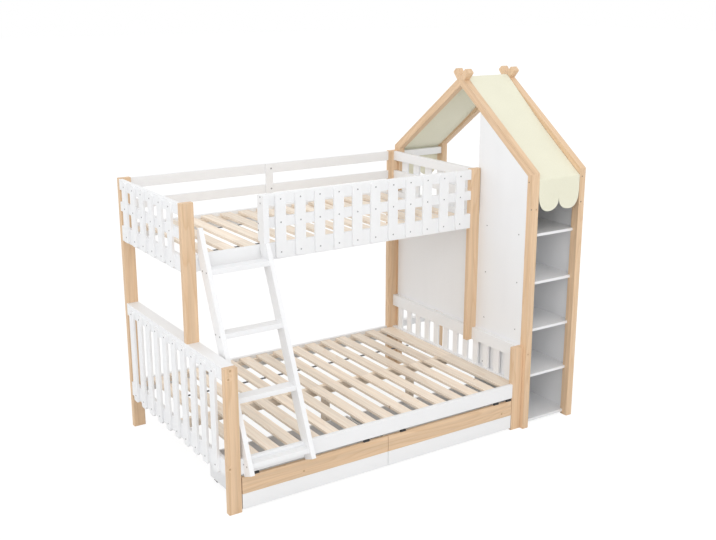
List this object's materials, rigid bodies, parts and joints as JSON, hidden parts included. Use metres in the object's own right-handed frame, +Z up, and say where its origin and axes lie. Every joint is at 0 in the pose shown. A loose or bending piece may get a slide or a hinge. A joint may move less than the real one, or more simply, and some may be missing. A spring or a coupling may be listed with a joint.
{
  "type": "house bunk bed",
  "caption": "White and pine bunk bed with a narrow upper bed, a leaning ladder, two rolling drawers and a house tower with shelves and a cloth roof.",
  "frame": {"origin": "bottom centre of the whole bed on the floor", "axes": "+X from the foot end to the house tower, +Y from the ladder to the wall, +Z up"},
  "size_m": [2.5892, 1.546, 2.3005],
  "materials": {
    "pine": "satin",
    "pine_slats": "satin",
    "white_paint": "satin",
    "white_board": "satin",
    "cloth": "matte",
    "webbing": "matte",
    "black_plastic": "matte",
    "black_wheel": "matte",
    "screw_steel": "satin"
  },
  "bodies": {
    "bed": {"lower_post_front_left": "pine", "bed_post_rear_left": "pine", "bed_post_rear_right": "pine", "headboard_post_front": "pine", "upper_post_front_left": "pine", "upper_post_front_right": "pine", "tower_posts": "pine", "tower_rafters_front": "pine", "tower_rafters_rear": "pine", "tower_finials": "pine", "lower_slats": "pine_slats", "upper_slats": "pine_slats", "slat_ledges": "pine_slats", "centre_beam": "pine_slats", "centre_legs": "pine_slats", "footboard_cap": "white_paint", "footboard_rails": "white_paint", "footboard_slats": "white_paint", "headboard_rails": "white_paint", "headboard_slats": "white_paint", "lower_rail_front": "white_paint", "lower_rail_rear": "white_paint", "upper_rail_front": "white_paint", "upper_rail_rear": "white_paint", "guard_front_rails": "white_paint", "guard_front_slats": "white_paint", "guard_opening_post": "white_paint", "guard_foot_rails": "white_paint", "guard_foot_slats": "white_paint", "guard_head_rails": "white_paint", "guard_head_slats": "white_paint", "guard_rear": "white_paint", "ladder_stiles": "white_paint", "ladder_treads": "white_paint", "tower_ridge_bar": "white_paint", "tower_cross_rails": "white_paint", "shelf_side_panels": "white_paint", "shelf_batten": "white_paint", "shelf_back": "white_paint", "shelf_boards": "white_paint", "head_panels": "white_paint", "head_panel_cleats": "white_paint", "roof_cloth_front": "cloth", "roof_cloth_rear": "cloth", "slat_straps": "webbing", "bed_screws": "screw_steel"},
    "drawer_left": {"drawer_left_front_strip": "pine", "drawer_left_front_panel": "white_paint", "drawer_left_box": "white_board", "drawer_left_casters": "black_plastic", "drawer_left_glides": "black_plastic"},
    "drawer_left_wheels_front": {"drawer_left_wheels_front": "black_wheel"},
    "drawer_left_wheels_rear": {"drawer_left_wheels_rear": "black_wheel"},
    "drawer_right": {"drawer_right_front_strip": "pine", "drawer_right_front_panel": "white_paint", "drawer_right_box": "white_board", "drawer_right_casters": "black_plastic", "drawer_right_glides": "black_plastic"},
    "drawer_right_wheels_front": {"drawer_right_wheels_front": "black_wheel"},
    "drawer_right_wheels_rear": {"drawer_right_wheels_rear": "black_wheel"}
  },
  "joints": [
    {"name": "drawer_left_slide", "type": "slide", "parent": "bed", "child": "drawer_left", "axis": [0, -1, 0], "range_m": [0, 0.4]},
    {"name": "drawer_left_wheels_front_spin", "type": "hinge", "parent": "drawer_left", "child": "drawer_left_wheels_front", "pos_m": [-0.70675, -0.62803, 0.018], "axis": [1, 0, 0], "continuous": true},
    {"name": "drawer_left_wheels_rear_spin", "type": "hinge", "parent": "drawer_left", "child": "drawer_left_wheels_rear", "pos_m": [-0.70675, -0.28803, 0.018], "axis": [1, 0, 0], "continuous": true},
    {"name": "drawer_right_slide", "type": "slide", "parent": "bed", "child": "drawer_right", "axis": [0, -1, 0], "range_m": [0, 0.4]},
    {"name": "drawer_right_wheels_front_spin", "type": "hinge", "parent": "drawer_right", "child": "drawer_right_wheels_front", "pos_m": [0.27675, -0.62803, 0.018], "axis": [1, 0, 0], "continuous": true},
    {"name": "drawer_right_wheels_rear_spin", "type": "hinge", "parent": "drawer_right", "child": "drawer_right_wheels_rear", "pos_m": [0.27675, -0.28803, 0.018], "axis": [1, 0, 0], "continuous": true}
  ]
}
